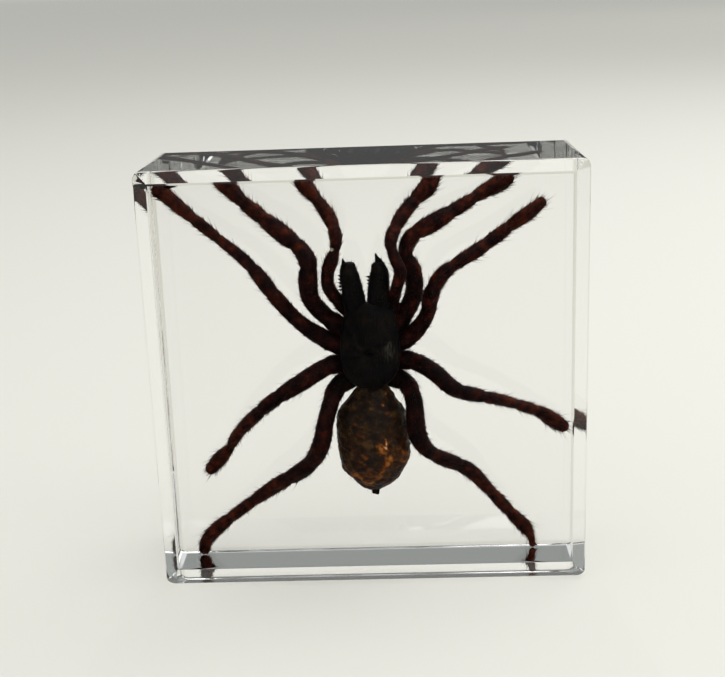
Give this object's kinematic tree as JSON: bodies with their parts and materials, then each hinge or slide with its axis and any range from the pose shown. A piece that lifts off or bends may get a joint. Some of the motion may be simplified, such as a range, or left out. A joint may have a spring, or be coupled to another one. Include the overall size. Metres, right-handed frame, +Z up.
{
  "type": "tarantula in resin block",
  "caption": "Dried tarantula with spread legs, sealed in a polished clear resin block with a chamfered front face that stands on its narrow side.",
  "frame": {"origin": "centre of the narrow bottom face that the block stands on", "axes": "+Z up, +X to the right seen from the front, -Y towards the viewer: the large front face looks along -Y and the spider's back is to it"},
  "size_m": [0.075, 0.025, 0.075],
  "materials": {
    "clear_resin": "clear casting resin, polished all round",
    "dried_cuticle": "dried dark red-brown cuticle with fine hairs, glossy where the resin wets it"
  },
  "bodies": {
    "root": {"resin_front": "clear_resin", "resin_back": "clear_resin", "tarantula": "dried_cuticle"}
  },
  "joints": []
}
